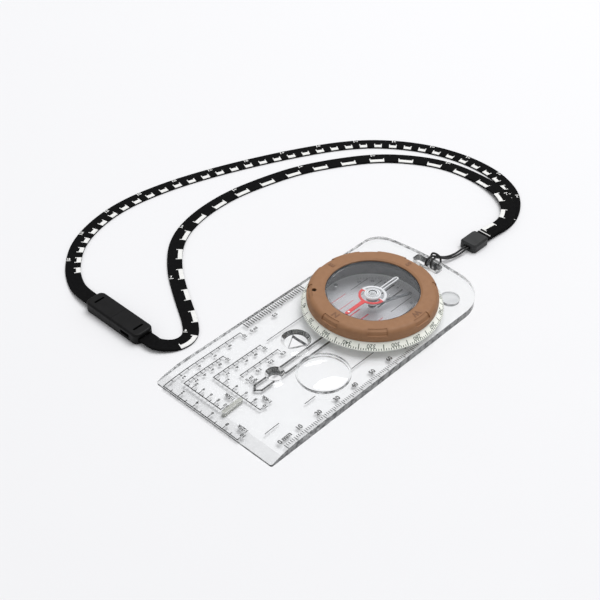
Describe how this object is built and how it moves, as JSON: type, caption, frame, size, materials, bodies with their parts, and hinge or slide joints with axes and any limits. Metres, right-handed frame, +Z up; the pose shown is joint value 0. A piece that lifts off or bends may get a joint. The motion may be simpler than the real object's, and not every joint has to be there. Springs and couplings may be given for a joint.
{
  "type": "baseplate compass",
  "caption": "Clear rule-plate compass with a turning dial, liquid capsule, clinometer, magnifier and a flat measuring lanyard.",
  "frame": {"origin": "on the table under the middle of the rule plate: the feet stand on z = 0", "axes": "+Z up through the dial, +Y along the travel arrow towards the thin front edge, +X towards the side where the lanyard lies"},
  "size_m": [0.1649, 0.2091, 0.0124],
  "materials": {
    "clear_acrylic": "polished clear",
    "grip_rubber": "matt",
    "clear_rubber": "frosted clear",
    "ivory_plastic": "satin, glow tinted",
    "brown_plastic": "fine matt",
    "screw_brass": "blackened",
    "grey_plastic": "satin",
    "pin_steel": "polished",
    "needle_steel": "satin red and white",
    "white_plastic": "satin",
    "jewel": "polished",
    "pointer_metal": "satin black",
    "black_cord": "fine braid",
    "black_plastic": "fine matt",
    "black_strap": "flat woven, printed white"
  },
  "bodies": {
    "plate": {"baseplate": "clear_acrylic", "magnifier_lens": "clear_acrylic", "front_foot": "grip_rubber", "rear_foot_left": "clear_rubber", "rear_foot_right": "clear_rubber", "loop_cord": "black_cord", "strap_clamp": "black_plastic", "strap_inner": "black_strap", "strap_outer": "black_strap", "buckle_socket": "black_plastic"},
    "dial": {"dial_ring": "ivory_plastic", "retaining_ring": "ivory_plastic", "grip_bezel": "brown_plastic"},
    "capsule": {"capsule_base": "clear_acrylic", "capsule_lid": "clear_acrylic", "declination_gear": "grey_plastic", "fill_plug": "grey_plastic", "pivot_pin": "pin_steel"},
    "declination_drive": {"declination_screw": "screw_brass"},
    "needle": {"needle_blade": "needle_steel", "needle_hub": "white_plastic", "jewel_bearing": "jewel"},
    "clinometer": {"clinometer_pointer": "pointer_metal"},
    "buckle_release_half": {"buckle_plug": "black_plastic"}
  },
  "joints": [
    {"name": "dial_turn", "type": "hinge", "parent": "plate", "child": "dial", "pos_m": [0, -0.024, 0.004], "axis": [0, 0, 1], "continuous": true},
    {"name": "declination_adjust", "type": "hinge", "parent": "dial", "child": "capsule", "pos_m": [0, -0.024, 0.004], "axis": [0, 0, 1], "range_deg": [-40, 40]},
    {"name": "declination_screw_turn", "type": "hinge", "parent": "dial", "child": "declination_drive", "pos_m": [0.01665, -0.00735, 0.009], "axis": [0, 0, 1], "range_deg": [-860, 860]},
    {"name": "needle_swing", "type": "hinge", "parent": "capsule", "child": "needle", "pos_m": [0, -0.024, 0.0095], "axis": [0, 0, 1], "continuous": true},
    {"name": "clinometer_swing", "type": "hinge", "parent": "capsule", "child": "clinometer", "pos_m": [0, -0.024, 0.0039], "axis": [0, 0, 1], "continuous": true},
    {"name": "buckle_release", "type": "slide", "parent": "plate", "child": "buckle_release_half", "axis": [1, 0, 0], "range_m": [0, 0.01], "deforming": ["strap_outer"]}
  ],
  "couplings": [
    {"joint": "declination_screw_turn", "follows": "declination_adjust", "ratio": -21.429}
  ]
}
